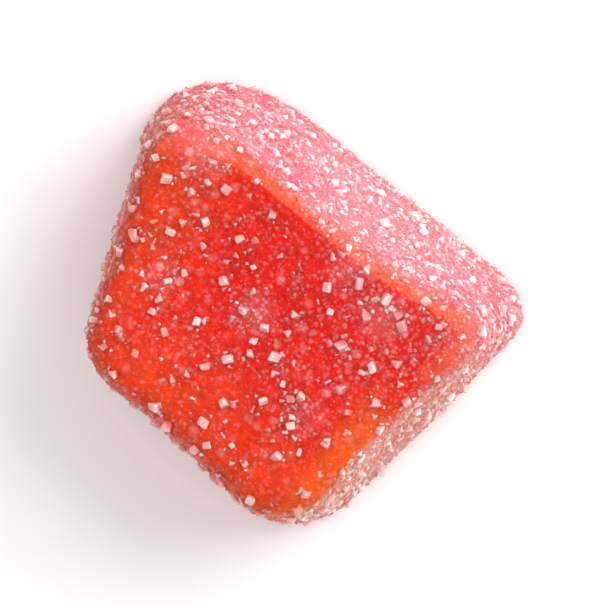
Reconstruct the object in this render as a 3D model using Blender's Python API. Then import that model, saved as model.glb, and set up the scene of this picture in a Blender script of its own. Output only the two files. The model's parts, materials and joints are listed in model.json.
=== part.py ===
"""Sugar-coated mango gummy: one tapered, soft-cornered block of jelly with its largest sugar grains fused on.

The block lies on its large flat face, with the origin in the middle of that face. Its widest wall faces -Y,
and +Z runs from the flat face to the small one.
"""

import math
import random

import bmesh
import bpy
from mathutils import Euler, Matrix, Vector, noise

MM = 0.001

# Height of the block and the outline of its base. Each corner is (x, y) before rounding, in the order
# front left, front right, back right, back left, with the widest wall at the front.
HEIGHT = 11.0 * MM
BASE_CORNERS = (
    (-12.84 * MM, -10.28 * MM),
    (15.1 * MM, -10.7 * MM),
    (7.35 * MM, 9.6 * MM),
    (-10.34 * MM, 10.92 * MM),
)

# How far each wall leans in from the base to the small face: front, right, back, left.
WALL_LEAN = (1.35 * MM, 1.5 * MM, 2.0 * MM, 1.3 * MM)

# Rounding of the upright corners as a share of the half side, in the order of the corners.
CORNER_SHARE = (0.24, 0.76, 0.30, 0.50)

# Radius of the shoulder round the small face and of the rim round the flat face, and the mean half side.
SHOULDER = 1.8 * MM
RIM = 0.8 * MM
HALF_SIDE = 11.0 * MM

# How far the drying jelly has sunk: the small face in its middle, deeper towards the front by the lean,
# and the middle of each wall at the base and at the small face (front, right, back, left).
DISH = 0.55 * MM
DISH_LEAN = 0.5
BASE_BOW = (0.0, 0.0, 0.35 * MM, 0.0)
EDGE_BOW = (1.5 * MM, 0.3 * MM, 0.6 * MM, 0.4 * MM)

# Unevenness of the moulded faces: wavelength, height and phase of a broad and a finer swell, which fade
# out in the zone above the base.
SWELLS = ((6.5 * MM, 0.30 * MM, 3.0), (2.6 * MM, 0.12 * MM, 17.0))
LEVEL_ZONE = 1.6 * MM

# Grid lines of the block: steps across half of the open face, up the open wall and across a softened edge.
FACE_STEPS = 7
WALL_STEPS = 5
EDGE_STEPS = 3

# Sugar grains: how many, their longest side, their width and thickness as shares of it, the wear of
# their corners, the least room between two, how far in their middle sits, and the bare foot of the walls.
GRAINS = 210
GRAIN_LONG = (0.50 * MM, 0.88 * MM)
GRAIN_WIDTH = (0.72, 0.96)
GRAIN_THICKNESS = (0.60, 0.84)
GRAIN_WEAR = (0.74, 1.0)
GRAIN_ROOM = 1.3 * MM
GRAIN_IN = 0.08
GRAIN_FOOT = 0.85 * MM
GRAIN_SEED = 41

# The faces that carry grains and each one's part of the draws.
GRAIN_FACES = (("top", 4.0), ("front", 3.0), ("back", 2.4), ("right", 2.6), ("left", 2.6))

SMOOTH_ANGLE = math.radians(35)
JELLY_COLOUR = (0.76, 0.075, 0.055, 1.0)
JELLY_ROUGHNESS = 0.55


def clear_scene():
    """Removes whatever the opened file holds."""
    for item in list(bpy.data.objects):
        bpy.data.objects.remove(item)


def jelly_material():
    """Red-orange jelly, dulled by its sugar."""
    material = bpy.data.materials.new("sugared_jelly")
    material.use_nodes = True
    shader = material.node_tree.nodes["Principled BSDF"]
    shader.inputs["Base Color"].default_value = JELLY_COLOUR
    shader.inputs["Roughness"].default_value = JELLY_ROUGHNESS
    shader.inputs["Metallic"].default_value = 0.0
    return material


def crossing(first, second):
    """Where two lines in the plane meet, each given by two points."""
    along = first[1] - first[0]
    across = second[1] - second[0]
    share = (second[0] - first[0]).cross(across) / along.cross(across)
    return first[0] + along * share


def leaned_corners():
    """The small face's corners: each base edge moved in by its wall's lean and met with the edge before it."""
    corners = [Vector(corner) for corner in BASE_CORNERS]
    edges = []
    for number, lean in enumerate(WALL_LEAN):
        start, end = corners[number], corners[(number + 1) % 4]
        inward = Vector((start.y - end.y, end.x - start.x)).normalized() * lean
        edges.append((start + inward, end + inward))
    return [crossing(edges[number - 1], edges[number]) for number in range(4)]


TOP_CORNERS = leaned_corners()


def rounded_square(u, v):
    """Moves a point of the unit square's edge inwards where the square's corner is rounded."""
    corner = (0 if u < 0 else 1) if v < 0 else (3 if u < 0 else 2)
    share = CORNER_SHARE[corner]
    start = 1 - share
    over_u, over_v = abs(u) - start, abs(v) - start
    if over_u > 0 and over_v > 0:
        reach = share / math.hypot(over_u, over_v)
        u = math.copysign(start + over_u * reach, u)
        v = math.copysign(start + over_v * reach, v)
    return u, v


def softened(across, up):
    """Rounds the block's section at the shoulder and the rim.

    Across runs from 0 at the axis to 1 at the wall, and up from 0 at the base to 1 at the small face.
    """
    for at_top, radius in ((True, SHOULDER), (False, RIM)):
        wide, tall = radius / HALF_SIDE, radius / HEIGHT
        rise = up if at_top else 1 - up
        over_wide = (across - (1 - wide)) / wide
        over_tall = (rise - (1 - tall)) / tall
        if over_wide > 0 and over_tall > 0:
            reach = 1 / math.hypot(over_wide, over_tall)
            across = 1 - wide + wide * over_wide * reach
            rise = 1 - tall + tall * over_tall * reach
            return across, rise if at_top else 1 - rise
    return across, up


def outline_point(u, v, up):
    """The place at (u, v) of the outline, which changes with the height from the base's to the small face's."""
    weights = ((1 - u) * (1 - v), (1 + u) * (1 - v), (1 + u) * (1 + v), (1 - u) * (1 + v))
    place = Vector((0, 0))
    for weight, low, high in zip(weights, BASE_CORNERS, TOP_CORNERS):
        place += Vector(low).lerp(high, up) * weight / 4
    front, right, back, left = (low + (high - low) * up * up for low, high in zip(BASE_BOW, EDGE_BOW))
    place.x += (left * max(-u, 0) ** 3 - right * max(u, 0) ** 3) * (1 - v * v)
    place.y += (front * max(-v, 0) ** 3 - back * max(v, 0) ** 3) * (1 - u * u)
    return place


def block_point(u, v, w):
    """Maps a point of the cube's surface, each coordinate from -1 to 1, onto the block before its swells."""
    reach = max(abs(u), abs(v))
    ring_u, ring_v = rounded_square(u / reach, v / reach) if reach else (0, 0)
    across, up = softened(reach, (w + 1) / 2)
    place = outline_point(ring_u * across, ring_v * across, up)
    sunk = 0
    if w >= 1 and reach < 1:
        sunk = DISH * ((1 - u * u) * (1 - v * v)) ** 2 * (1 - DISH_LEAN * v)
    return Vector((place.x, place.y, up * HEIGHT - sunk))


def swell(place):
    """Height of the unevenness at a place, fading out towards the base, which stays flat."""
    fade = min(max(place.z / LEVEL_ZONE, 0), 1)
    total = 0
    for length, height, phase in SWELLS:
        total += height * noise.noise(place / length + Vector((phase, phase, phase)))
    return total * fade * fade


def surface_at(u, v, w):
    """The finished surface's place and its outward direction at a point of the cube."""
    step = 0.01
    spot = Vector((u, v, w))
    axis = max(range(3), key=lambda i: abs(spot[i]))
    side_a, side_b = Vector((0, 0, 0)), Vector((0, 0, 0))
    side_a[(axis + 1) % 3] = step
    side_b[(axis + 2) % 3] = step
    along_a = block_point(*(spot + side_a)) - block_point(*(spot - side_a))
    along_b = block_point(*(spot + side_b)) - block_point(*(spot - side_b))
    outward = along_a.cross(along_b).normalized() * math.copysign(1, spot[axis])
    smooth = block_point(*spot)
    return smooth + outward * swell(smooth), outward


def grid_lines(low_radius, high_radius, length, open_steps):
    """Positions from -1 to 1 along a side, closer together in the softened edge at each end."""
    low, high = -1 + 2 * low_radius / length, 1 - 2 * high_radius / length
    lines = [-1 + (low + 1) * i / EDGE_STEPS for i in range(EDGE_STEPS)]
    lines += [low + (high - low) * i / open_steps for i in range(open_steps)]
    lines += [high + (1 - high) * i / EDGE_STEPS for i in range(EDGE_STEPS + 1)]
    return lines


def block_mesh():
    """The jelly block, with its flat face as one polygon."""
    across = grid_lines(SHOULDER, SHOULDER, 2 * HALF_SIDE, 2 * FACE_STEPS)
    upward = grid_lines(RIM, SHOULDER, HEIGHT, WALL_STEPS)
    build = bmesh.new()
    made = {}

    def corner(spot):
        key = tuple(round(value, 6) for value in spot)
        if key not in made:
            place = surface_at(*spot)[0] if spot[2] > -1 else block_point(*spot)
            made[key] = build.verts.new(place)
        return made[key]

    def panel(first, second, to_cube, turned):
        faces = []
        for a0, a1 in zip(first, first[1:]):
            for b0, b1 in zip(second, second[1:]):
                ring = [corner(to_cube(a, b)) for a, b in ((a0, b0), (a1, b0), (a1, b1), (a0, b1))]
                faces.append(build.faces.new(reversed(ring) if turned else ring))
        return faces

    panel(across, across, lambda a, b: (a, b, 1), False)
    panel(across, upward, lambda a, b: (a, -1, b), False)
    panel(across, upward, lambda a, b: (a, 1, b), True)
    panel(across, upward, lambda a, b: (1, a, b), False)
    panel(across, upward, lambda a, b: (-1, a, b), True)
    base = panel(across, across, lambda a, b: (a, b, -1), True)
    level = [face for face in base if all(abs(vert.co.z) < MM / 1000 for vert in face.verts)]
    bmesh.ops.dissolve_faces(build, faces=level)
    bmesh.ops.triangulate(build, faces=[face for face in build.faces if len(face.verts) == 4])
    mesh = bpy.data.meshes.new("block")
    build.to_mesh(mesh)
    build.free()
    return mesh


def grain_spots(draw):
    """Places and outward directions of the grains, spread evenly over the walls and the small face."""
    names = [name for name, _ in GRAIN_FACES]
    parts = [part for _, part in GRAIN_FACES]
    spots = []
    while len(spots) < GRAINS:
        a, b = draw.uniform(-1, 1), draw.uniform(-1, 1)
        cube = {
            "top": (a, b, 1),
            "front": (a, -1, b),
            "back": (a, 1, b),
            "right": (1, a, b),
            "left": (-1, a, b),
        }[draw.choices(names, parts)[0]]
        place, outward = surface_at(*cube)
        crowded = any((place - other).length < GRAIN_ROOM for other, _ in spots)
        if place.z > GRAIN_FOOT and not crowded:
            spots.append((place, outward))
    return spots


def grain_mesh(draw, long_side):
    """One worn crystal: a box whose eight corners have each lost a little."""
    half = Vector((1, draw.uniform(*GRAIN_WIDTH), draw.uniform(*GRAIN_THICKNESS))) * long_side / 2
    build = bmesh.new()
    bmesh.ops.create_cube(build, size=2)
    for vert in build.verts:
        vert.co = vert.co * half * draw.uniform(*GRAIN_WEAR)
    bmesh.ops.triangulate(build, faces=build.faces)
    mesh = bpy.data.meshes.new("grain")
    build.to_mesh(mesh)
    build.free()
    return mesh


def grain_collection():
    """The grains as objects in a collection of their own, each set into the block's surface."""
    crowd = bpy.data.collections.new("grains")
    bpy.context.scene.collection.children.link(crowd)
    draw = random.Random(GRAIN_SEED)
    for number, (place, outward) in enumerate(grain_spots(draw)):
        long_side = draw.uniform(*GRAIN_LONG)
        mesh = grain_mesh(draw, long_side)
        turn = Euler([draw.uniform(0, math.tau) for _ in range(3)]).to_matrix().to_4x4()
        mesh.transform(Matrix.Translation(place - outward * long_side * GRAIN_IN) @ turn)
        crowd.objects.link(bpy.data.objects.new(f"grain_{number:03d}", mesh))
    return crowd


def fuse(body, crowd):
    """Joins every grain to the body in one union, applied, and removes the separate grains."""
    union = body.modifiers.new("grains", "BOOLEAN")
    union.operation = "UNION"
    union.operand_type = "COLLECTION"
    union.collection = crowd
    union.solver = "EXACT"
    graph = bpy.context.evaluated_depsgraph_get()
    fused = bpy.data.meshes.new_from_object(body.evaluated_get(graph))
    body.modifiers.remove(union)
    body.data = fused
    for item in list(crowd.objects):
        bpy.data.objects.remove(item)
    bpy.data.collections.remove(crowd)


def main():
    clear_scene()
    body = bpy.data.objects.new("gummy", block_mesh())
    bpy.context.scene.collection.objects.link(body)
    fuse(body, grain_collection())
    body.data.materials.clear()
    body.data.materials.append(jelly_material())
    body.data.shade_smooth()
    body.data.set_sharp_from_angle(angle=SMOOTH_ANGLE)


main()
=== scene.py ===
"""Looks of a sugared mango gummy, laid out as an add-on.

The jelly block, four sizes of sugar crystals and a plain stage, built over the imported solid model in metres.
"""

import json
import math
import random
from collections import namedtuple

import bmesh
import bpy
from mathutils import Euler, Matrix, Vector, noise

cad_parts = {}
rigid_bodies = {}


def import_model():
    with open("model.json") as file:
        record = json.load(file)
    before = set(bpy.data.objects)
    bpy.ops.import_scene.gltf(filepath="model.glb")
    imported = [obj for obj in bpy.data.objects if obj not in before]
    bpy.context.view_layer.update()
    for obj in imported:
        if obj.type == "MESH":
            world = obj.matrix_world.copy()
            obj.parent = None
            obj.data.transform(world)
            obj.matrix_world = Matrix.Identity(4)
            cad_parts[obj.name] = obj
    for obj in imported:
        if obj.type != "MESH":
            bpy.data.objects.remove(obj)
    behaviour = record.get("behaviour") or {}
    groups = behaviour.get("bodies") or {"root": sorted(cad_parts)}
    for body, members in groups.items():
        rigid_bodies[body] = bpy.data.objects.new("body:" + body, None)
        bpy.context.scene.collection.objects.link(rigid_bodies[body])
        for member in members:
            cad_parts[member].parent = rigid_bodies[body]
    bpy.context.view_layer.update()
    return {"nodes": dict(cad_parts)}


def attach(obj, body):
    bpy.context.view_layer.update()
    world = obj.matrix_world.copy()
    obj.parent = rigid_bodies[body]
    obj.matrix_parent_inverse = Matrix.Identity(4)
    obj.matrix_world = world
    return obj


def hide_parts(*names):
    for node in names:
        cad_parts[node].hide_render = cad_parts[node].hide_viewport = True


bl_info = {
    "name": "Sugared Mango Gummy",
    "version": (1, 0, 0),
    "blender": (4, 5, 0),
    "location": "View3D > Sidebar > Gummy",
    "description": "Builds the jelly, the sugar coat and the stage of a sugared gummy",
    "category": "Add Mesh",
}

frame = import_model()

NODE = "gummy"
BODY = "root"
MM = 0.001
PER_MM2 = 1e6
PER_MM = 1000.0

# The block's form, as in the solid model. Corners and walls go round from the front left corner.
HEIGHT = 11.0 * MM
BASE_CORNERS = (
    (-12.84 * MM, -10.28 * MM),
    (15.1 * MM, -10.7 * MM),
    (7.35 * MM, 9.6 * MM),
    (-10.34 * MM, 10.92 * MM),
)
WALL_LEAN = (1.35 * MM, 1.5 * MM, 2.0 * MM, 1.3 * MM)
CORNER_SHARE = (0.24, 0.76, 0.30, 0.50)
SHOULDER = 1.8 * MM
RIM = 0.8 * MM
HALF_SIDE = 11.0 * MM
DISH = 0.55 * MM
DISH_LEAN = 0.5
BASE_BOW = (0.0, 0.0, 0.35 * MM, 0.0)
EDGE_BOW = (1.5 * MM, 0.3 * MM, 0.6 * MM, 0.4 * MM)
SWELLS = ((6.5 * MM, 0.30 * MM, 3.0), (2.6 * MM, 0.12 * MM, 17.0))
LEVEL_ZONE = 1.6 * MM

# The solid model's own grains, which the coarse crystals stand on.
GRAINS = 210
GRAIN_LONG = (0.50 * MM, 0.88 * MM)
GRAIN_WIDTH = (0.72, 0.96)
GRAIN_THICKNESS = (0.60, 0.84)
GRAIN_WEAR = (0.74, 1.0)
GRAIN_ROOM = 1.3 * MM
GRAIN_IN = 0.08
GRAIN_FOOT = 0.85 * MM
GRAIN_SEED = 41
GRAIN_FACES = (("top", 4.0), ("front", 3.0), ("back", 2.4), ("right", 2.6), ("left", 2.6))

# Grid lines of the jelly: steps across half of the open face, up the open wall and across a softened edge.
FACE_STEPS = 48
WALL_STEPS = 40
EDGE_STEPS = 12

# The crust's clumps, each a tilted facet: a clump's width, its greatest slope, the crack between two, how far
# the tilt and the level move on from one clump to the next, and the level's and the crack's share of the
# height.
CLUMP = 0.75 * MM
CLUMP_SLOPE = 0.90
CLUMP_CRACK = 0.12
TILT_STEP = 7.3
LEVEL_STEP = 11.7
LEVEL_SHARE = 0.6
CRACK_SHARE = 0.5

# Shifts that make three independent noises out of one, for the three axes.
WANDER_SHIFTS = ((0.31, 0.47, 0.83), (17.13, 5.71, 9.37), (29.53, 13.19, 21.77))

# The ragged line between the small face and the walls: the length of its waves, how far it strays, how much
# lower it lies on the left, and the steepness of the skin where the wall starts and where it is full.
RAGGED_WAVE = 1.1 * MM
RAGGED_STRAY = 0.22
RAGGED_LEFT = 0.18
WALL_SLOPES = (0.86, 0.40)
UNDERSIDE = -0.5

# Zones of the sugar, from where each starts to where it is full: along X and along Y of the small face, the
# two ends of the front wall along X, and the slopes of the rim's two borders.
NEAR_LEFT = ((5.0 * MM, -6.0 * MM), (6.0 * MM, -3.0 * MM))
FRONT_CORNERS = ((6.0 * MM, 9.0 * MM), (-4.0 * MM, -7.5 * MM))
LEFT_RIM = ((-6.5 * MM, -8.5 * MM), (-3.0 * MM, 0.0))
FRONT_ENDS = ((0.0, 6.0 * MM), (-5.5 * MM, -9.5 * MM))
RIM_SLOPES = ((0.985, 0.90), (0.35, 0.65))

# Where the small face's crystals lie in clusters, how far a cluster reaches, how much of it is full, and the
# lowest place that counts as the small face.
CLUSTERS = (
    (-2.5 * MM, -6.5 * MM),
    (-6.0 * MM, -5.5 * MM),
    (0.0 * MM, -1.0 * MM),
    (5.4 * MM, 0.6 * MM),
    (7.5 * MM, -6.5 * MM),
    (-6.0 * MM, 2.0 * MM),
)
CLUSTER_REACH = 2.2 * MM
CLUSTER_FULL = 0.2
FACE_LEVEL = 0.85 * HEIGHT

# Frost is how white the sugar is and cover how closely it lies, both from 0 to 1. Frost is partly the sugar's
# own white and partly painted light: the walls are painted whiter than the small face, as the sheen of light on
# their sugar, most of all the front and left walls, which face the low light, while the back and right walls,
# turned from it, are painted less white as shade. Each is an even share and what every sign at a place adds to
# it or takes from it. A drift or patch has the length of its waves, its shift and its octaves.
FACE_FROST = {
    "even": 0.09, "near_left": 0.18, "front_corners": 0.20, "left_rim": -0.15, "drift": 0.16,
    "clusters": 0.50,
}
# Painted light on the walls: whitest facing the low light, painted shade on the right and back walls.
WALL_FROST_AND_PAINTED_LIGHT = {
    "even": 0.86, "right": -0.50, "back": -0.70, "left": -0.22, "front_ends": -0.26, "drift": 0.18,
    "patches": 0.25,
}
UNDER_FROST = {"even": 0.6, "drift": 0.2}
FACE_COVER = {"even": 0.14, "near_left": 0.11, "front_corners": 0.30, "drift": 0.40, "clusters": 0.26}
WALL_COVER = {"even": 0.94, "back": -0.50, "right": -0.18, "drift": 0.30}
UNDER_COVER = 0.35
LEAST_SUGAR = 0.05
FROST_DRIFT = (3.2 * MM, 0, 3)
FROST_PATCHES = (1.4 * MM, 2, 2)
COVER_DRIFT = (2.1 * MM, 9, 3)

# A crystal's wear, in shares of its longest side: its broken edges, the rim round a window and the deepest
# chip. A window is painted less white than its rim: the jelly painted as seen through the crystal, with a
# painted reflection on the rim. The chips have so many waves in half its length, and their pattern moves on
# with its proportions. A tiny crystal has a radius in half lengths.
CRYSTAL_BEVEL = 0.11
CRYSTAL_RIM = 0.08
CRYSTAL_CHIP = 0.13
CHIP_WAVES = 1.3
CHIP_STEP = 40
TINY_RADIUS = 1.3

# Splinters beside a coarse crystal: fewer than so many, and their size, distance and depth in shares of the
# crystal's size, of the two half lengths and of their own size.
SPLINTERS = 3
SPLINTER_SIZE = (0.25, 0.55)
SPLINTER_REACH = (0.8, 1.3)
SPLINTER_DEPTH = 0.3

# A slanting line along which a crystal's points and faces are put in order, so that every run is the same.
SORT_ALONG = Vector((1.0, 0.618, 0.382))

# How a size of sugar takes its white: the haze that every crystal has, what the whitest ones add to it, how
# few those are, how much less white it is where there is no frost, its gloss, and how much clearer a window is.
# Frost is partly painted light on the walls, and a clearer window is the jelly painted as seen through.
Look = namedtuple("Look", "haze whitest rarity shy gloss clear")
COARSE_LOOK = Look(0.84, 0.90, 1.1, 0.40, 0.50, 0.15)

# How much of its tip's white a crystal has at its foot, and between which heights it whitens, in shares of its
# size. The foot and sides left in the jelly's tone are partly the foot sunk in the jelly and partly painted
# glow of the jelly through the sugar, which keeps the shaded sides red. No crystal's tone is darker than the
# last value in red, green or blue.
FOOT_WHITE = 0.22
WHITENING = (-0.10, 0.48)
DARKEST_TONE = (0.72, 0.03, 0.01)

# The strewn sugar: the piece's name, the settings it takes, the crystals' shape, how many different ones
# there are, the seed, how far out of the skin a crystal lies in shares of its size, and its look. A crystal is
# smaller than its size by up to the spread, and tilted by up to the tilt.
Strewn = namedtuple("Strewn", "piece setting shape variety seed out look")
STREWN = (
    Strewn("medium_sugar", "medium", "medium", 8, 51, -0.24, Look(0.52, 1.10, 1.5, 0.56, 0.50, 0.0)),
    Strewn("fine_sugar", "fine", "small", 12, 52, -0.18, Look(0.17, 0.60, 2.2, 0.60, 0.25, 0.0)),
    Strewn("sugar_dust", "dust", "tiny", 6, 53, -0.10, Look(0.15, 0.50, 2.0, 0.65, 0.20, 0.0)),
)
STREWN_SPREAD = 0.45
STREWN_TILT = math.radians(50)

# The jelly's tones: where each starts and where it is full in millimetres, along X, Y or Z, and how strong it
# is. Their borders sway, in so many waves a millimetre and so many millimetres far. The mottle's values are its
# darkest and its lightest, and the veil is the white of fine sugar over the jelly where there is frost; on the
# walls the veil is partly painted light, as the frost is.
ORANGE_RIGHT = (2.0, 9.0)
ORANGE_BACK = (0.0, 7.5)
YELLOW_LEFT = (-7.0, -8.8)
YELLOW_BACK = (-4.0, 0.5)
YELLOW_HIGH = (1.0, 9.0)
YELLOW_STRENGTH = 0.8
UNDER_RIM = (10.5, 9.3)
CREAM_LEFT = (-8.3, -10.3)
CREAM_STRENGTH = 0.60
ROSE_FRONT = (-4.8, -8.4)
ROSE_CORNER = ((6.0, 9.5), (-4.5, -8.0))
ROSE_CORNER_STRENGTH = 0.85
# The salmon rim over the front wall is partly the jelly's own tone and partly painted glow through the edge.
SALMON_FRONT = (-3.0, -6.0)
SALMON_STRENGTH = 0.6
SWAY_PER_MM = 0.33
SWAY = 7.0
FRONT_SWAY = 0.5
MOTTLE_PER_MM = 1.3
MOTTLE = (0.80, 1.12)
VEIL_FROST = (0.25, 1.0)
VEIL = 0.11

# Grains half dissolved in the jelly: how many a millimetre, and how few of them are pale. The grains' height
# is the bump's distance, and their white without frost and what full frost adds come last; on the walls this
# paleness is partly painted light, as the frost is.
CHIP_GRAINS = (1.5, 5.0)
LARGE_GRAINS = (2.9, 1.6)
SMALL_GRAINS = (5.0, 1.6)
GRAIN_BUMP = 0.05 * MM
GRAIN_WHITE = 0.08
GRAIN_FROST = 0.38

# How far red, green and blue light travel in the jelly and in the sugar, as shares, and in the sugar in metres.
JELLY_GLOW = (1.0, 0.30, 0.14)
SUGAR_GLOW = (1.0, 0.6, 0.55)
SUGAR_DEPTH = 0.45 * MM

# The stage: the floor's half width and gap, the low light's height above the horizon, its way to the side and
# its distance, the overhead light's place, and both lights' width, all in metres.
FLOOR_HALF = 3.0
FLOOR_GAP = 0.02 * MM
KEY_HEIGHT = math.radians(35)
KEY_SIDE = -0.30
KEY_DISTANCE = 0.5
KEY_WIDTH = 0.36
FILL_PLACE = Vector((0.05, 0.1, 0.7))
FILL_WIDTH = 0.6


# Settings


def length(name, description, default):
    return bpy.props.FloatProperty(
        name=name, description=description, default=default, min=0.0, unit="LENGTH", precision=5
    )


def colour(name, description, default):
    return bpy.props.FloatVectorProperty(
        name=name, description=description, default=default, size=3, subtype="COLOR", min=0.0, max=1.0
    )


def number(name, description, default, **options):
    return bpy.props.FloatProperty(name=name, description=description, default=default, **options)


class JellySettings(bpy.types.PropertyGroup):
    coat: length("Coat", "How far the jelly lies inside the sugared surface", 0.02 * MM)
    relief: length("Relief", "Height of the crust's clumps", 0.10 * MM)
    glow: length("Glow", "How far light travels inside the jelly", 2.5 * MM)
    red: colour("Red", "The middle of the small face", (0.74, 0.010, 0.003))
    orange: colour("Orange", "The rims at the back and the right", (0.76, 0.045, 0.003))
    yellow: colour("Yellow", "The tint along the left rim", (0.82, 0.10, 0.004))
    rose: colour("Rose", "The front wall and its right corner", (0.92, 0.10, 0.13))
    # Salmon is partly painted glow along the rim next to the lit front wall.
    salmon: colour("Salmon", "The rim over the front wall and its left corner", (0.88, 0.13, 0.05))
    cream: colour("Cream", "The left wall", (0.88, 0.24, 0.19))


class SugarSettings(bpy.types.PropertyGroup):
    medium_size: length("Medium size", "Longest side of a medium crystal", 0.62 * MM)
    medium_room: length("Medium room", "Least room between two medium crystals", 0.38 * MM)
    medium_count: number("Medium count", "Crystals a square millimetre", 3.4, min=0.0)
    fine_size: length("Fine size", "Longest side of a fine crystal", 0.35 * MM)
    fine_room: length("Fine room", "Least room between two fine crystals", 0.2 * MM)
    fine_count: number("Fine count", "Crystals a square millimetre", 8.0, min=0.0)
    dust_size: length("Dust size", "Longest side of a grain of dust", 0.16 * MM)
    dust_room: length("Dust room", "Least room between two grains of dust", 0.09 * MM)
    dust_count: number("Dust count", "Grains a square millimetre", 8.0, min=0.0)
    white: colour("White", "A clean crystal in full light", (1.0, 0.83, 0.81))


class StageSettings(bpy.types.PropertyGroup):
    floor: colour("Floor", "The plain floor", (0.93, 0.93, 0.935))
    key: number("Key", "Power of the low soft light", 2.5, unit="POWER")
    fill: number("Fill", "Power of the overhead light", 1.0, unit="POWER")
    sky: number("Sky", "Strength of the even light from all round", 0.66, min=0.0)
    elevation: number("Elevation", "Camera's height above the horizon", math.radians(80), subtype="ANGLE")
    azimuth: number("Azimuth", "Camera's way round from the front", math.radians(-16), subtype="ANGLE")
    roll: number("Roll", "How far the picture is turned anticlockwise", math.radians(126), subtype="ANGLE")
    distance: length("Distance", "From the camera to the gummy", 300 * MM)
    view_width: length("View width", "Width of the picture at the gummy", 35.5 * MM)


# The block's form


def crossing(first, second):
    """Where two lines in the plane meet, each given by two points."""
    along = first[1] - first[0]
    across = second[1] - second[0]
    share = (second[0] - first[0]).cross(across) / along.cross(across)
    return first[0] + along * share


def leaned_corners():
    """The small face's corners: each base edge moved in by its wall's lean, met with the edge before."""
    corners = [Vector(corner) for corner in BASE_CORNERS]
    edges = []
    for wall, lean in enumerate(WALL_LEAN):
        start, end = corners[wall], corners[(wall + 1) % 4]
        inward = Vector((start.y - end.y, end.x - start.x)).normalized() * lean
        edges.append((start + inward, end + inward))
    return [crossing(edges[wall - 1], edges[wall]) for wall in range(4)]


TOP_CORNERS = leaned_corners()


def rounded_square(u, v):
    """Moves a point of the unit square's edge inwards where the square's corner is rounded."""
    corner = (0 if u < 0 else 1) if v < 0 else (3 if u < 0 else 2)
    share = CORNER_SHARE[corner]
    start = 1 - share
    over_u, over_v = abs(u) - start, abs(v) - start
    if over_u > 0 and over_v > 0:
        reach = share / math.hypot(over_u, over_v)
        u = math.copysign(start + over_u * reach, u)
        v = math.copysign(start + over_v * reach, v)
    return u, v


def softened(across, up):
    """Rounds the block's section at the shoulder and the rim."""
    for at_top, radius in ((True, SHOULDER), (False, RIM)):
        wide, tall = radius / HALF_SIDE, radius / HEIGHT
        rise = up if at_top else 1 - up
        over_wide = (across - (1 - wide)) / wide
        over_tall = (rise - (1 - tall)) / tall
        if over_wide > 0 and over_tall > 0:
            reach = 1 / math.hypot(over_wide, over_tall)
            across = 1 - wide + wide * over_wide * reach
            rise = 1 - tall + tall * over_tall * reach
            return across, rise if at_top else 1 - rise
    return across, up


def outline_point(u, v, up):
    """The place at (u, v) of the outline, which goes with the height from the base's to the small face's."""
    weights = ((1 - u) * (1 - v), (1 + u) * (1 - v), (1 + u) * (1 + v), (1 - u) * (1 + v))
    place = Vector((0, 0))
    for weight, low, high in zip(weights, BASE_CORNERS, TOP_CORNERS):
        place += Vector(low).lerp(high, up) * weight / 4
    front, right, back, left = (low + (high - low) * up * up for low, high in zip(BASE_BOW, EDGE_BOW))
    place.x += (left * max(-u, 0) ** 3 - right * max(u, 0) ** 3) * (1 - v * v)
    place.y += (front * max(-v, 0) ** 3 - back * max(v, 0) ** 3) * (1 - u * u)
    return place


def block_point(u, v, w):
    """Maps a point of the cube's surface, each coordinate from -1 to 1, onto the block before its swells."""
    reach = max(abs(u), abs(v))
    ring_u, ring_v = rounded_square(u / reach, v / reach) if reach else (0, 0)
    across, up = softened(reach, (w + 1) / 2)
    place = outline_point(ring_u * across, ring_v * across, up)
    sunk = 0
    if w >= 1 and reach < 1:
        sunk = DISH * ((1 - u * u) * (1 - v * v)) ** 2 * (1 - DISH_LEAN * v)
    return Vector((place.x, place.y, up * HEIGHT - sunk))


def swell(place):
    """Height of the unevenness at a place, fading out towards the base, which stays flat."""
    fade = min(max(place.z / LEVEL_ZONE, 0), 1)
    total = 0
    for wave, height, phase in SWELLS:
        total += height * noise.noise(place / wave + Vector((phase, phase, phase)))
    return total * fade * fade


def surface_at(u, v, w):
    """The finished surface's place and its outward direction at a point of the cube."""
    step = 0.01
    spot = Vector((u, v, w))
    axis = max(range(3), key=lambda i: abs(spot[i]))
    side_a, side_b = Vector((0, 0, 0)), Vector((0, 0, 0))
    side_a[(axis + 1) % 3] = step
    side_b[(axis + 2) % 3] = step
    along_a = block_point(*(spot + side_a)) - block_point(*(spot - side_a))
    along_b = block_point(*(spot + side_b)) - block_point(*(spot - side_b))
    outward = along_a.cross(along_b).normalized() * math.copysign(1, spot[axis])
    smooth = block_point(*spot)
    return smooth + outward * swell(smooth), outward


def grid_lines(low_radius, high_radius, side, open_steps):
    """Positions from -1 to 1 along a side, closer together in the softened edge at each end."""
    low, high = -1 + 2 * low_radius / side, 1 - 2 * high_radius / side
    lines = [-1 + (low + 1) * i / EDGE_STEPS for i in range(EDGE_STEPS)]
    lines += [low + (high - low) * i / open_steps for i in range(open_steps)]
    lines += [high + (1 - high) * i / EDGE_STEPS for i in range(EDGE_STEPS + 1)]
    return lines


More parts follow.
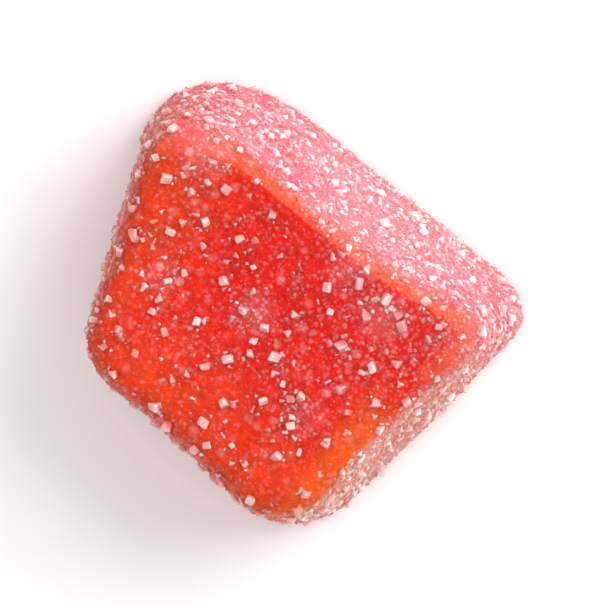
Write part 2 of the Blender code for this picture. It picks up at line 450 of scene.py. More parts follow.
def block_mesh():
    """The block's closed skin as quads, at the solid model's surface."""
    across = grid_lines(SHOULDER, SHOULDER, 2 * HALF_SIDE, 2 * FACE_STEPS)
    upward = grid_lines(RIM, SHOULDER, HEIGHT, WALL_STEPS)
    made, places, faces = {}, [], []

    def corner(spot):
        key = tuple(round(value, 6) for value in spot)
        if key not in made:
            made[key] = len(places)
            places.append(surface_at(*spot)[0] if spot[2] > -1 else block_point(*spot))
        return made[key]

    def panel(first, second, to_cube, turned):
        for a0, a1 in zip(first, first[1:]):
            for b0, b1 in zip(second, second[1:]):
                ring = [corner(to_cube(a, b)) for a, b in ((a0, b0), (a1, b0), (a1, b1), (a0, b1))]
                faces.append(ring[::-1] if turned else ring)

    panel(across, across, lambda a, b: (a, b, 1), False)
    panel(across, upward, lambda a, b: (a, -1, b), False)
    panel(across, upward, lambda a, b: (a, 1, b), True)
    panel(across, upward, lambda a, b: (1, a, b), False)
    panel(across, upward, lambda a, b: (-1, a, b), True)
    panel(across, across, lambda a, b: (a, b, -1), True)
    mesh = bpy.data.meshes.new("jelly")
    mesh.from_pydata(places, [], faces)
    return mesh


# The jelly's crust


def faded(value, low, high):
    """Rises smoothly from 0 at low to 1 at high, or falls where high is the lower."""
    share = min(max((value - low) / (high - low), 0), 1)
    return share * share * (3 - 2 * share)


def wander(place):
    """A smooth sideways drift at a place, from -1 to 1 along each axis and the same at every run."""
    return Vector([noise.noise(place + Vector(shift)) for shift in WANDER_SHIFTS])


def crust_height(place):
    """Height of the crust, from -1 to 1: every clump is a facet with its own tilt, with cracks between."""
    spans, middles = noise.voronoi(place / CLUMP)
    own = middles[0]
    tilt = wander(own * TILT_STEP)
    level = noise.noise(own * LEVEL_STEP)
    crack = 1 - min((spans[1] - spans[0]) / CLUMP_CRACK, 1)
    return LEVEL_SHARE * level + CLUMP_SLOPE * (place / CLUMP - own).dot(tilt) - CRACK_SHARE * crack


def waves(place, length_, shift, octaves):
    """Uneven waves of one length, about from -1 to 1."""
    return noise.fractal(place / length_ + Vector((shift, shift, shift)), 1.0, 2.0, octaves)


def wall_share(place, normal):
    """0 on the small face and 1 on the walls, with a ragged line between."""
    stray = RAGGED_STRAY * waves(place, RAGGED_WAVE, 4, 3)
    return faded(normal.z + stray + RAGGED_LEFT * max(-normal.x, 0), *WALL_SLOPES)


def rim_share(normal):
    """1 on the rounded edge round the small face."""
    return faded(normal.z, *RIM_SLOPES[0]) * faded(normal.z, *RIM_SLOPES[1])


def clusters(place):
    """1 where the small face's crystals lie in a cluster."""
    if place.z < FACE_LEVEL:
        return 0
    spans = [math.hypot(place.x - x, place.y - y) for x, y in CLUSTERS]
    return faded(min(spans), CLUSTER_REACH, CLUSTER_FULL * CLUSTER_REACH)


def signs_at(place, normal):
    """The signs of a place that the sugar follows, each from 0 to 1."""
    ends = max(faded(place.x, *FRONT_ENDS[0]), faded(place.x, *FRONT_ENDS[1]))
    return {
        "near_left": faded(place.x, *NEAR_LEFT[0]) * faded(place.y, *NEAR_LEFT[1]),
        "front_corners": faded(abs(place.x), *FRONT_CORNERS[0]) * faded(place.y, *FRONT_CORNERS[1]),
        "left_rim": faded(place.x, *LEFT_RIM[0]) * faded(place.y, *LEFT_RIM[1]),
        "front_ends": ends * max(-normal.y, 0),
        "clusters": clusters(place),
        "right": max(normal.x, 0),
        "left": max(-normal.x, 0),
        "back": max(normal.y, 0),
    }


def summed(shares, signs):
    """The even share with what every sign adds to it."""
    total = shares["even"]
    for name, share in shares.items():
        if name != "even":
            total += share * signs[name]
    return total


def frost_and_painted_light_at(place, normal):
    """How white the sugar is, partly painted light: least on the small face, most on the walls facing the low
    light, less on those turned from it, in drifts.
    """
    signs = signs_at(place, normal)
    signs["drift"] = waves(place, *FROST_DRIFT)
    signs["patches"] = waves(place, *FROST_PATCHES)
    face, side = summed(FACE_FROST, signs), summed(WALL_FROST_AND_PAINTED_LIGHT, signs)
    frost_and_painted_light = face + (side - face) * wall_share(place, normal)
    if normal.z < UNDERSIDE:
        frost_and_painted_light = summed(UNDER_FROST, signs)
    return min(max(frost_and_painted_light, LEAST_SUGAR), 1)


def cover_at(place, normal):
    """How closely the crystals lie, as a share of the closest."""
    signs = signs_at(place, normal)
    signs["drift"] = waves(place, *COVER_DRIFT)
    face, side = summed(FACE_COVER, signs), summed(WALL_COVER, signs)
    cover = min(max(face + (side - face) * wall_share(place, normal), LEAST_SUGAR), 1)
    return cover * (UNDER_COVER if normal.z < UNDERSIDE else 1)


def add_values(mesh, name, values):
    """Stores one number for each point of a mesh."""
    layer = mesh.attributes.new(name, "FLOAT", "POINT")
    layer.data.foreach_set("value", values)


def jelly_mesh(settings):
    """The block's skin under its sugar: moved in by the coat, roughened, and with its sugar stored."""
    mesh = block_mesh()
    normals = [item.vector.copy() for item in mesh.vertex_normals]
    frost_and_painted_light, cover, rim = [], [], []
    for vert, normal in zip(mesh.vertices, normals):
        place = vert.co.copy()
        frost_and_painted_light.append(frost_and_painted_light_at(place, normal))
        cover.append(cover_at(place, normal))
        rim.append(rim_share(normal))
        vert.co = place + normal * (settings.relief * crust_height(place) - settings.coat)
        vert.co.z = max(vert.co.z, 0)
    add_values(mesh, "frost_and_painted_light", frost_and_painted_light)
    add_values(mesh, "cover", cover)
    add_values(mesh, "rim", rim)
    mesh.shade_smooth()
    return mesh


# Crystals


def sort_along(items, middle):
    """Puts a mesh's points or faces in the same order at every run."""
    items.sort(key=lambda item: middle(item).dot(SORT_ALONG))


def crystal(draw, half, shape):
    """One worn crystal, whose corners have each lost a little.

    A large or medium one is a chipped box with broken edges, the large one with an inset panel in each side,
    painted less white than its rim as the jelly seen through the crystal, with a painted reflection on the rim.
    A small one is a plain box, and a tiny one an octahedron.
    """
    chipped = shape in ("large", "medium")
    long_side = 2 * half.x
    build = bmesh.new()
    if shape == "tiny":
        bmesh.ops.create_uvsphere(build, u_segments=4, v_segments=2, radius=TINY_RADIUS)
    else:
        bmesh.ops.create_cube(build, size=2)
    for vert in build.verts:
        vert.co = vert.co * half * draw.uniform(*GRAIN_WEAR)
    if chipped:
        bmesh.ops.bevel(
            build,
            geom=build.edges[:],
            offset=CRYSTAL_BEVEL * long_side,
            segments=1,
            profile=0.5,
            affect="EDGES",
            clamp_overlap=True,
        )
        sort_along(build.verts, lambda vert: vert.co)
        sort_along(build.faces, bmesh.types.BMFace.calc_center_median)
    outside = len(build.verts)
    if shape == "large":
        sides = sorted(build.faces, key=lambda face: face.calc_area())[-6:]
        bmesh.ops.inset_individual(build, faces=sides, thickness=CRYSTAL_RIM * long_side, depth=0)
    if chipped:
        step = half.y / half.x * CHIP_STEP
        for vert in build.verts:
            chip = wander(vert.co / half.x * CHIP_WAVES + Vector((step, step, step)))
            vert.co += chip * CRYSTAL_CHIP * long_side
    bmesh.ops.triangulate(build, faces=build.faces[:])
    sort_along(build.faces, bmesh.types.BMFace.calc_center_median)
    mesh = bpy.data.meshes.new("crystal")
    build.to_mesh(mesh)
    build.free()
    add_values(mesh, "painted_see_through", [float(point >= outside) for point in range(len(mesh.vertices))])
    return mesh


def grain_spots(draw):
    """Places and outward directions of the solid model's grains."""
    names = [name for name, _ in GRAIN_FACES]
    parts = [part for _, part in GRAIN_FACES]
    spots = []
    while len(spots) < GRAINS:
        a, b = draw.uniform(-1, 1), draw.uniform(-1, 1)
        cube = {
            "top": (a, b, 1),
            "front": (a, -1, b),
            "back": (a, 1, b),
            "right": (1, a, b),
            "left": (-1, a, b),
        }[draw.choices(names, parts)[0]]
        place, outward = surface_at(*cube)
        crowded = any((place - other).length < GRAIN_ROOM for other, _ in spots)
        if place.z > GRAIN_FOOT and not crowded:
            spots.append((place, outward))
    return spots


def coarse_mesh():
    """The largest crystals, each in the place and at the size of one of the solid model's grains."""
    draw = random.Random(GRAIN_SEED)
    tint = random.Random(GRAIN_SEED + 1)
    places, faces = [], []
    stored = {name: [] for name in ("white", "frost_and_painted_light", "rim", "rise", "painted_see_through")}

    def add(source, place, outward, long_side):
        """Adds one crystal in its own random turn."""
        half = Vector((1, source.uniform(*GRAIN_WIDTH), source.uniform(*GRAIN_THICKNESS))) * long_side / 2
        mesh = crystal(source, half, "large")
        turn = Euler([source.uniform(0, math.tau) for _ in range(3)]).to_matrix().to_4x4()
        mesh.transform(Matrix.Translation(place - outward * long_side * GRAIN_IN) @ turn)
        first, count = len(places), len(mesh.vertices)
        places.extend(vert.co.copy() for vert in mesh.vertices)
        faces.extend([first + i for i in face.vertices] for face in mesh.polygons)
        stored["white"].extend([tint.random()] * count)
        stored["frost_and_painted_light"].extend([frost_and_painted_light_at(place, outward)] * count)
        stored["rim"].extend([rim_share(outward)] * count)
        stored["rise"].extend((vert.co - place).dot(outward) / long_side for vert in mesh.vertices)
        stored["painted_see_through"].extend(item.value for item in mesh.attributes["painted_see_through"].data)
        bpy.data.meshes.remove(mesh)

    for place, outward in grain_spots(draw):
        long_side = draw.uniform(*GRAIN_LONG)
        add(draw, place, outward, long_side)
        sideways = outward.orthogonal().normalized()
        for _ in range(tint.randrange(SPLINTERS)):
            around = Matrix.Rotation(tint.uniform(0, math.tau), 3, outward) @ sideways
            small = long_side * tint.uniform(*SPLINTER_SIZE)
            reach = (long_side + small) / 2 * tint.uniform(*SPLINTER_REACH)
            add(tint, place + around * reach - outward * SPLINTER_DEPTH * small, outward, small)
    mesh = bpy.data.meshes.new("coarse_sugar")
    mesh.from_pydata(places, [], faces)
    for name, values in stored.items():
        add_values(mesh, name, values)
    return mesh


def crystal_store(name, kinds, shape, seed):
    """A collection of crystals with a longest side of 1, for strewing."""
    store = bpy.data.collections.new(name)
    draw = random.Random(seed)
    for kind in range(kinds):
        half = Vector((1, draw.uniform(*GRAIN_WIDTH), draw.uniform(*GRAIN_THICKNESS))) / 2
        mesh = crystal(draw, half, shape)
        store.objects.link(bpy.data.objects.new(f"{name}_{kind}", mesh))
    return store


# Node trees


def opaque(shade):
    """A colour with full alpha, as node sockets take it."""
    return (*shade, 1.0)


def add_node(tree, kind, values=(), **options):
    """Adds a node, sets its options, and gives each listed input a value or another node's output."""
    node = tree.nodes.new(kind)
    for name, value in options.items():
        setattr(node, name, value)
    for key, value in dict(values).items():
        if isinstance(value, bpy.types.NodeSocket):
            tree.links.new(value, node.inputs[key])
        else:
            node.inputs[key].default_value = value
    return node


def strewing_tree():
    """Crystals strewn over a surface, each sunk, turned and sized at random, and kept above the floor."""
    tree = bpy.data.node_groups.new("strewn_crystals", "GeometryNodeTree")
    sockets = (
        ("Geometry", "Geometry"), ("Crystals", "Collection"), ("Count", "Float"), ("Room", "Float"),
        ("Size", "Float"), ("Spread", "Float"), ("Out", "Float"), ("Tilt", "Float"), ("Seed", "Int"),
        ("Smooth", "Bool"), ("Material", "Material"),
    )
    for name, kind in sockets:
        tree.interface.new_socket(name=name, in_out="INPUT", socket_type=f"NodeSocket{kind}")
    tree.interface.new_socket(name="Geometry", in_out="OUTPUT", socket_type="NodeSocketGeometry")
    given = tree.nodes.new("NodeGroupInput").outputs

    def add(kind, values=(), **options):
        return add_node(tree, kind, values, **options)

    def calculate(operation, *values):
        return add("ShaderNodeMath", enumerate(values), operation=operation).outputs[0]

    def draw(low, high, step, data_type="FLOAT"):
        first = {"FLOAT_VECTOR": 0, "FLOAT": 2}[data_type]
        seed = calculate("ADD", given["Seed"], step)
        ends = {first: low, first + 1: high, "Seed": seed}
        node = add("FunctionNodeRandomValue", ends, data_type=data_type)
        return node.outputs[0 if data_type == "FLOAT_VECTOR" else 1]

    def named(name, kind="FLOAT"):
        return add("GeometryNodeInputNamedAttribute", {"Name": name}, data_type=kind).outputs[0]

    def store(geometry, name, value, kind="FLOAT", domain="INSTANCE"):
        ends = {"Geometry": geometry, "Name": name, "Value": value}
        return add("GeometryNodeStoreNamedAttribute", ends, data_type=kind, domain=domain).outputs[0]

    def position():
        return add("GeometryNodeInputPosition").outputs[0]

    points = add(
        "GeometryNodeDistributePointsOnFaces",
        {
            "Mesh": given["Geometry"],
            "Distance Min": given["Room"],
            "Density Max": calculate("MULTIPLY", given["Count"], PER_MM2),
            "Density Factor": named("cover"),
            "Seed": given["Seed"],
        },
        distribute_method="POISSON",
    ).outputs
    lift = add("ShaderNodeVectorMath", {0: points["Normal"]}, operation="SCALE")
    tree.links.new(calculate("MULTIPLY", given["Size"], given["Out"]), lift.inputs["Scale"])
    upright = store(points["Points"], "up", points["Normal"], "FLOAT_VECTOR", "POINT")
    placed = add("GeometryNodeSetPosition", {"Geometry": upright, "Offset": lift.outputs[0]})
    back_tilt = calculate("MULTIPLY", given["Tilt"], -1)
    limits = [
        add("ShaderNodeCombineXYZ", {"X": tilt, "Y": tilt, "Z": half_turn}).outputs[0]
        for tilt, half_turn in ((back_tilt, -math.pi), (given["Tilt"], math.pi))
    ]
    angles = draw(*limits, 1, "FLOAT_VECTOR")
    turned = add(
        "FunctionNodeRotateRotation",
        {
            "Rotation": points["Rotation"],
            "Rotate By": add("FunctionNodeEulerToRotation", {0: angles}).outputs[0],
        },
        rotation_space="LOCAL",
    ).outputs[0]
    smaller = calculate("MULTIPLY", given["Size"], calculate("SUBTRACT", 1.0, given["Spread"]))
    size = draw(smaller, given["Size"], 2)
    crystals = add(
        "GeometryNodeCollectionInfo",
        {"Collection": given["Crystals"], "Separate Children": True, "Reset Children": True},
    ).outputs[0]
    strewn = add(
        "GeometryNodeInstanceOnPoints",
        {
            "Points": placed.outputs[0],
            "Instance": crystals,
            "Pick Instance": True,
            "Rotation": turned,
            "Scale": size,
        },
    ).outputs[0]
    strewn = store(strewn, "white", draw(0.0, 1.0, 3))
    strewn = store(strewn, "long_side", size)
    strewn = store(strewn, "foot", position(), "FLOAT_VECTOR")
    real = add("GeometryNodeRealizeInstances", {0: strewn}).outputs[0]
    foot, up = named("foot", "FLOAT_VECTOR"), named("up", "FLOAT_VECTOR")
    from_foot = add("ShaderNodeVectorMath", {0: position(), 1: foot}, operation="SUBTRACT").outputs[0]
    above_foot = add("ShaderNodeVectorMath", {0: from_foot, 1: up}, operation="DOT_PRODUCT").outputs["Value"]
    real = store(real, "rise", calculate("DIVIDE", above_foot, named("long_side")), domain="POINT")
    for name in ("long_side", "foot", "up"):
        real = add("GeometryNodeRemoveAttribute", {"Geometry": real, "Name": name}).outputs[0]
    here = add("ShaderNodeSeparateXYZ", {0: position()}).outputs
    ends = {"X": here["X"], "Y": here["Y"], "Z": calculate("MAXIMUM", here["Z"], 0.0)}
    above = add("ShaderNodeCombineXYZ", ends).outputs[0]
    standing = add("GeometryNodeSetPosition", {"Geometry": real, "Position": above}).outputs[0]
    ends = {"Geometry": standing, "Shade Smooth": given["Smooth"]}
    shaded = add("GeometryNodeSetShadeSmooth", ends).outputs[0]
    dressed = add("GeometryNodeSetMaterial", {"Geometry": shaded, "Material": given["Material"]}).outputs[0]
    add("NodeGroupOutput", {0: dressed})
    return tree


def strewn_mesh(name, ground, values):
    """Runs the strewing tree over a ground mesh and returns the crystals as a plain mesh."""
    tree = bpy.data.node_groups.get("strewn_crystals") or strewing_tree()
    carrier = bpy.data.objects.new(name, ground)
    bpy.context.scene.collection.objects.link(carrier)
    strew = carrier.modifiers.new("strew", "NODES")
    strew.node_group = tree
    for item in tree.interface.items_tree:
        if item.in_out == "INPUT" and item.name in values:
            strew[item.identifier] = values[item.name]
    graph = bpy.context.evaluated_depsgraph_get()
    mesh = bpy.data.meshes.new_from_object(
        carrier.evaluated_get(graph), preserve_all_data_layers=True, depsgraph=graph
    )
    bpy.data.objects.remove(carrier)
    mesh.name = name
    return mesh


# Materials


def tone_group(settings, white):
    """The jelly's colours over the block, from its own coordinates in millimetres, under a veil of sugar."""
    tree = bpy.data.node_groups.new("jelly_tones", "ShaderNodeTree")
    tree.interface.new_socket(name="Color", in_out="OUTPUT", socket_type="NodeSocketColor")

    def add(kind, values=(), **options):
        return add_node(tree, kind, values, **options)

    def calculate(operation, *values):
        return add("ShaderNodeMath", enumerate(values), operation=operation).outputs[0]

    def ramp(value, zone):
        ends = {"Value": value, "From Min": zone[0], "From Max": zone[1]}
        return add("ShaderNodeMapRange", ends, interpolation_type="SMOOTHSTEP").outputs[0]

    def product(*shares):
        total = shares[0]
        for share in shares[1:]:
            total = calculate("MULTIPLY", total, share)
        return total

    def mix(share, first, second):
        return add("ShaderNodeMix", {0: share, 6: first, 7: second}, data_type="RGBA").outputs[2]

    coordinates = add("ShaderNodeTexCoord").outputs["Object"]
    in_mm = add("ShaderNodeMapping", {"Vector": coordinates, "Scale": (PER_MM,) * 3}).outputs[0]
    axes = add("ShaderNodeSeparateXYZ", {0: in_mm}).outputs
    drift = add("ShaderNodeTexNoise", {"Vector": in_mm, "Scale": SWAY_PER_MM, "Detail": 4.0}).outputs["Fac"]
    sway = calculate("MULTIPLY", calculate("SUBTRACT", drift, 0.5), SWAY)
    x = calculate("ADD", axes["X"], sway)
    y = calculate("ADD", axes["Y"], sway)
    orange = calculate("MAXIMUM", ramp(x, ORANGE_RIGHT), ramp(y, ORANGE_BACK))
    yellow = product(ramp(axes["X"], YELLOW_LEFT), ramp(y, YELLOW_BACK), ramp(axes["Z"], YELLOW_HIGH))
    low = ramp(axes["Z"], UNDER_RIM)
    front = ramp(calculate("MULTIPLY_ADD", sway, FRONT_SWAY, axes["Y"]), ROSE_FRONT)
    left = product(ramp(x, CREAM_LEFT), CREAM_STRENGTH, low)
    corner = product(ramp(y, ROSE_CORNER[1]), ROSE_CORNER_STRENGTH, ramp(x, ROSE_CORNER[0]))
    rose = calculate("MAXIMUM", product(front, low), corner)
    rim = add("ShaderNodeAttribute", attribute_name="rim").outputs["Fac"]
    # The salmon along the front rim is partly painted glow.
    edge = product(rim, ramp(axes["Y"], SALMON_FRONT), SALMON_STRENGTH)
    tone = mix(orange, opaque(settings.red), opaque(settings.orange))
    tone = mix(edge, tone, opaque(settings.salmon))
    tone = mix(product(yellow, YELLOW_STRENGTH), tone, opaque(settings.yellow))
    tone = mix(left, tone, opaque(settings.cream))
    tone = mix(rose, tone, opaque(settings.rose))
    ends = {"Vector": in_mm, "Scale": MOTTLE_PER_MM, "Detail": 5.0, "Roughness": 0.6}
    mottle = add("ShaderNodeTexNoise", ends).outputs["Fac"]
    ends = {"Value": mottle, "From Min": 0.3, "From Max": 0.7, "To Min": MOTTLE[0], "To Max": MOTTLE[1]}
    shade = add("ShaderNodeMapRange", ends).outputs[0]
    bright = add("ShaderNodeVectorMath", {0: tone}, operation="SCALE")
    tree.links.new(shade, bright.inputs["Scale"])
    frost_and_painted_light = add("ShaderNodeAttribute", attribute_name="frost_and_painted_light").outputs["Fac"]
    # The veil grows with frost, which on the walls is partly painted light.
    veil = product(ramp(frost_and_painted_light, VEIL_FROST), VEIL)
    add("NodeGroupOutput", {0: mix(veil, bright.outputs[0], opaque(white))})
    return tree


def toned_material(name, settings, white):
    """A new material with the jelly's tones ready, and its tree, shader and tone output."""
    material = bpy.data.materials.new(name)
    material.use_nodes = True
    tree = material.node_tree
    group = bpy.data.node_groups.get("jelly_tones") or tone_group(settings, white)
    tones = add_node(tree, "ShaderNodeGroup", node_tree=group)
    return material, tree, tree.nodes["Principled BSDF"], tones.outputs[0]


def jelly_material(jelly, sugar):
    """Translucent jelly with the smallest grains half dissolved in it, paler where it is frosted, partly with
    painted light on the walls.
    """
    material, tree, shader, tone = toned_material("jelly", jelly, sugar.white)
    coordinates = add_node(tree, "ShaderNodeTexCoord").outputs["Object"]
    frost_and_painted_light = add_node(tree, "ShaderNodeAttribute", attribute_name="frost_and_painted_light").outputs["Fac"]

    def calculate(operation, *values):
        return add_node(tree, "ShaderNodeMath", enumerate(values), operation=operation).outputs[0]

    def grains(per_mm, rarity):
        """Height and paleness of one size of sunken grains."""
        cells = add_node(tree, "ShaderNodeTexVoronoi", {"Vector": coordinates, "Scale": per_mm * PER_MM})
        dome = add_node(
            tree,
            "ShaderNodeMapRange",
            {"Value": cells.outputs["Distance"], "From Min": 0.60, "From Max": 0.15},
            interpolation_type="SMOOTHSTEP",
        ).outputs[0]
        chance = add_node(tree, "ShaderNodeSeparateColor", {0: cells.outputs["Color"]}).outputs[0]
        return dome, calculate("MULTIPLY", dome, calculate("POWER", chance, rarity))

    chip_pale = grains(*CHIP_GRAINS)[1]
    large, large_pale = grains(*LARGE_GRAINS)
    small, small_pale = grains(*SMALL_GRAINS)
    height = calculate("ADD", large, calculate("MULTIPLY", small, 0.5))
    pale = calculate("ADD", large_pale, calculate("MULTIPLY", small_pale, 0.7))
    pale = calculate("ADD", pale, calculate("MULTIPLY", chip_pale, 1.2))
    # The grains pale with frost, which on the walls is partly painted light.
    strength = calculate("MULTIPLY_ADD", frost_and_painted_light, GRAIN_FROST, GRAIN_WHITE)
    share = calculate("MULTIPLY", pale, strength)
    ends = {0: share, 6: tone, 7: opaque(sugar.white)}
    mixed = add_node(tree, "ShaderNodeMix", ends, data_type="RGBA")
    tree.links.new(mixed.outputs[2], shader.inputs["Base Color"])
    bump = add_node(tree, "ShaderNodeBump", {"Height": height, "Distance": GRAIN_BUMP, "Strength": 0.9})
    tree.links.new(bump.outputs[0], shader.inputs["Normal"])
    shader.inputs["Roughness"].default_value = 0.38
    shader.inputs["Specular IOR Level"].default_value = 0.12
    shader.inputs["Subsurface Weight"].default_value = 0.75
    shader.inputs["Subsurface Radius"].default_value = JELLY_GLOW
    shader.inputs["Subsurface Scale"].default_value = jelly.glow
    return material


def crystal_material(name, jelly, sugar, look):
    """Sugar with the jelly's tone painted through it as glow at the foot and sides and as seen through the
    middle of each side, white at the tip where it is clean, and whiter on the walls with painted light.
    """
    material, tree, shader, tone = toned_material(name, jelly, sugar.white)
    frost_and_painted_light, white, rise, painted_see_through = (
        add_node(tree, "ShaderNodeAttribute", attribute_name=layer).outputs["Fac"]
        for layer in ("frost_and_painted_light", "white", "rise", "painted_see_through")
    )

    def spread(value, low, high, **options):
        ends = {"Value": value, "To Min": low, "To Max": high}
        return add_node(tree, "ShaderNodeMapRange", ends, **options)

    rare = add_node(tree, "ShaderNodeMath", {0: white, 1: look.rarity}, operation="POWER").outputs[0]
    share = spread(rare, look.haze, look.haze + look.whitest).outputs[0]
    # A crystal whitens with frost, which on the walls is partly painted light.
    reach = spread(frost_and_painted_light, 1 - look.shy, 1.0).outputs[0]
    # The tip's ramp leaves the foot and sides in the jelly's tone: partly the sunk foot, partly painted glow.
    tip = spread(rise, FOOT_WHITE, 1.0, interpolation_type="SMOOTHSTEP")
    tip.inputs["From Min"].default_value = WHITENING[0]
    tip.inputs["From Max"].default_value = WHITENING[1]
    # The inset panels are painted as the jelly seen through, leaving a painted reflection on the rims.
    for part in (reach, tip.outputs[0], spread(painted_see_through, 1.0, 1 - look.clear).outputs[0]):
        share = add_node(tree, "ShaderNodeMath", {0: share, 1: part}, operation="MULTIPLY").outputs[0]
    ends = {0: tone, 1: DARKEST_TONE}
    warm = add_node(tree, "ShaderNodeVectorMath", ends, operation="MAXIMUM").outputs[0]
    bright = add_node(tree, "ShaderNodeVectorMath", {0: warm}, operation="SCALE")
    tree.links.new(spread(white, 0.94, 1.08).outputs[0], bright.inputs["Scale"])
    level = add_node(tree, "ShaderNodeSeparateColor", {"Color": warm}).outputs["Red"]
    clean = add_node(tree, "ShaderNodeVectorMath", {0: tuple(sugar.white)}, operation="SCALE")
    tree.links.new(level, clean.inputs["Scale"])
    ends = {0: share, 6: bright.outputs[0], 7: clean.outputs[0]}
    mixed = add_node(tree, "ShaderNodeMix", ends, data_type="RGBA")
    tree.links.new(mixed.outputs[2], shader.inputs["Base Color"])
    shader.inputs["Roughness"].default_value = 0.2
    shader.inputs["Specular IOR Level"].default_value = look.gloss
    shader.inputs["Subsurface Weight"].default_value = 0.8
    shader.inputs["Subsurface Radius"].default_value = SUGAR_GLOW
    shader.inputs["Subsurface Scale"].default_value = SUGAR_DEPTH
    return material


def plain_material(name, base, roughness):
    """One even finish for the stage."""
    material = bpy.data.materials.new(name)
    material.use_nodes = True
    shader = material.node_tree.nodes["Principled BSDF"]
    shader.inputs["Base Color"].default_value = opaque(base)
    shader.inputs["Roughness"].default_value = roughness
    return material


# Operators


def add_piece(name, mesh, material):
    """Puts a finished mesh in the scene as a piece of the object, with its finish."""
    mesh.materials.clear()
    mesh.materials.append(material)
    piece = bpy.data.objects.new(name, mesh)
    bpy.context.scene.collection.objects.link(piece)
    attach(piece, BODY)
    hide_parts(NODE)
    return piece


class GUMMY_OT_jelly(bpy.types.Operator):
    """Makes the jelly block under its sugar"""

    bl_idname = "gummy.jelly"
    bl_label = "Jelly"

    def execute(self, context):
        jelly, sugar = context.scene.gummy_jelly, context.scene.gummy_sugar
        add_piece("jelly", jelly_mesh(jelly), jelly_material(jelly, sugar))
        return {"FINISHED"}


class GUMMY_OT_coarse_sugar(bpy.types.Operator):
    """Makes the largest crystals, in the places of the solid model's grains"""

    bl_idname = "gummy.coarse_sugar"
    bl_label = "Coarse sugar"

    def execute(self, context):
        jelly, sugar = context.scene.gummy_jelly, context.scene.gummy_sugar
        material = crystal_material("coarse_sugar", jelly, sugar, COARSE_LOOK)
        add_piece("coarse_sugar", coarse_mesh(), material)
        return {"FINISHED"}


class GUMMY_OT_strewn_sugar(bpy.types.Operator):
    """Strews the medium, fine and dust-sized crystals over the jelly"""

    bl_idname = "gummy.strewn_sugar"
    bl_label = "Strewn sugar"

    def execute(self, context):
        jelly, sugar = context.scene.gummy_jelly, context.scene.gummy_sugar
        ground = bpy.data.objects["jelly"].data
        for kind in STREWN:
            store = crystal_store(kind.piece, kind.variety, kind.shape, kind.seed)
            material = crystal_material(kind.piece, jelly, sugar, kind.look)
            values = {
                "Crystals": store,
                "Count": getattr(sugar, kind.setting + "_count"),
                "Room": getattr(sugar, kind.setting + "_room"),
                "Size": getattr(sugar, kind.setting + "_size"),
                "Spread": STREWN_SPREAD,
                "Out": kind.out,
                "Tilt": STREWN_TILT,
                "Seed": kind.seed,
                "Smooth": kind.shape != "medium",
                "Material": material,
            }
            mesh = strewn_mesh(kind.piece, ground, values)
            if not mesh.polygons:
                raise RuntimeError(f"no crystals were strewn for {kind.piece}")
            add_piece(kind.piece, mesh, material)
            for item in list(store.objects):
                bpy.data.objects.remove(item)
            bpy.data.collections.remove(store)
        return {"FINISHED"}


def soft_light(name, watts, size, place, target):
    """A square area light that faces a target."""
    lamp = bpy.data.lights.new(name, "AREA")
    lamp.energy = watts
    lamp.shape = "SQUARE"
    lamp.size = size
    light = bpy.data.objects.new(name, lamp)
    light.location = place
    light.rotation_euler = (target - place).to_track_quat("-Z", "Y").to_euler()
    bpy.context.scene.collection.objects.link(light)


def camera_axes(stage):
    """The picture's right, the picture's up and the way back to the camera."""
    side, rise, roll = stage.azimuth, stage.elevation, stage.roll
    back = Vector((math.sin(side) * math.cos(rise), -math.cos(side) * math.cos(rise), math.sin(rise)))
    level = Vector((math.cos(side), math.sin(side), 0))
    upright = back.cross(level)
    right = level * math.cos(roll) - upright * math.sin(roll)
    up = level * math.sin(roll) + upright * math.cos(roll)
    return right, up, back


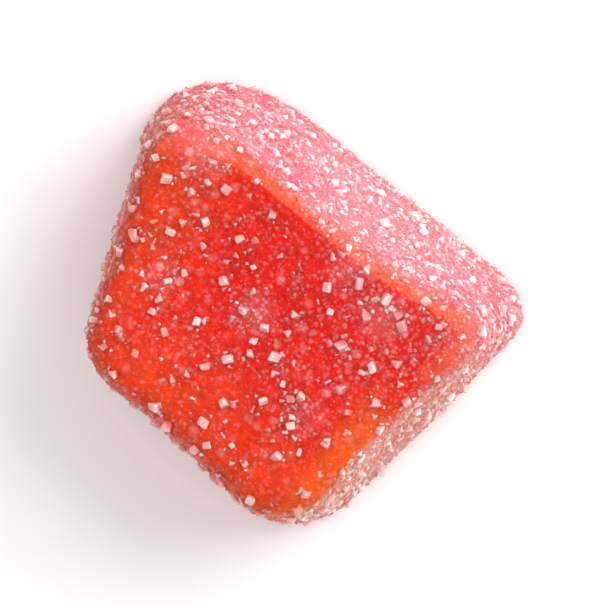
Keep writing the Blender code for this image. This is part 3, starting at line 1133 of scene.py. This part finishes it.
class GUMMY_OT_stage(bpy.types.Operator):
    """Makes the plain floor, the soft lights and the camera"""

    bl_idname = "gummy.stage"
    bl_label = "Stage"

    def execute(self, context):
        stage = context.scene.gummy_stage
        build = bmesh.new()
        bmesh.ops.create_grid(build, x_segments=1, y_segments=1, size=FLOOR_HALF)
        mesh = bpy.data.meshes.new("floor")
        build.to_mesh(mesh)
        build.free()
        mesh.transform(Matrix.Translation((0, 0, -FLOOR_GAP)))
        mesh.materials.append(plain_material("floor", stage.floor, 0.7))
        floor = bpy.data.objects.new("floor", mesh)
        context.scene.collection.objects.link(floor)

        world = bpy.data.worlds.new("studio")
        world.use_nodes = True
        sky = world.node_tree.nodes["Background"]
        sky.inputs["Color"].default_value = (1.0, 1.0, 1.0, 1.0)
        sky.inputs["Strength"].default_value = stage.sky
        context.scene.world = world
        context.scene.view_settings.view_transform = "Standard"

        target = Vector((0, 0, HEIGHT / 2))
        key_way = Vector((KEY_SIDE, -math.cos(KEY_HEIGHT), math.sin(KEY_HEIGHT)))
        soft_light("key", stage.key, KEY_WIDTH, target + key_way * KEY_DISTANCE, target)
        soft_light("fill", stage.fill, FILL_WIDTH, target + FILL_PLACE, target)

        right, up, back = camera_axes(stage)
        corners = [vert.co for vert in frame["nodes"][NODE].data.vertices]
        wide = [corner.dot(right) for corner in corners]
        tall = [corner.dot(up) for corner in corners]
        middle = right * (min(wide) + max(wide)) / 2 + up * (min(tall) + max(tall)) / 2 + back * HEIGHT / 2
        lens = bpy.data.cameras.new("camera")
        lens.lens = lens.sensor_width * stage.distance / stage.view_width
        lens.clip_start = stage.distance / 100
        lens.clip_end = stage.distance * 100
        camera = bpy.data.objects.new("camera", lens)
        turn = Matrix((right, up, back)).transposed().to_4x4()
        camera.matrix_world = Matrix.Translation(middle + back * stage.distance) @ turn
        context.scene.collection.objects.link(camera)
        context.scene.camera = camera
        return {"FINISHED"}


OPERATORS = (GUMMY_OT_jelly, GUMMY_OT_coarse_sugar, GUMMY_OT_strewn_sugar, GUMMY_OT_stage)


class GUMMY_PT_panel(bpy.types.Panel):
    """Lists the gummy's pieces and their settings"""

    bl_label = "Gummy"
    bl_idname = "GUMMY_PT_panel"
    bl_space_type = "VIEW_3D"
    bl_region_type = "UI"
    bl_category = "Gummy"

    def draw(self, context):
        for operator in OPERATORS:
            self.layout.operator(operator.bl_idname)
        for settings in (context.scene.gummy_jelly, context.scene.gummy_sugar, context.scene.gummy_stage):
            for name in settings.__annotations__:
                self.layout.prop(settings, name)


SETTINGS = (("gummy_jelly", JellySettings), ("gummy_sugar", SugarSettings), ("gummy_stage", StageSettings))


def register():
    for name, kind in SETTINGS:
        bpy.utils.register_class(kind)
        setattr(bpy.types.Scene, name, bpy.props.PointerProperty(type=kind))
    for kind in (*OPERATORS, GUMMY_PT_panel):
        bpy.utils.register_class(kind)


def unregister():
    for kind in (GUMMY_PT_panel, *reversed(OPERATORS)):
        bpy.utils.unregister_class(kind)
    for name, kind in reversed(SETTINGS):
        delattr(bpy.types.Scene, name)
        bpy.utils.unregister_class(kind)


def main():
    register()
    bpy.ops.gummy.jelly()
    bpy.ops.gummy.coarse_sugar()
    bpy.ops.gummy.strewn_sugar()
    bpy.ops.gummy.stage()


if __name__ == "__main__":
    main()
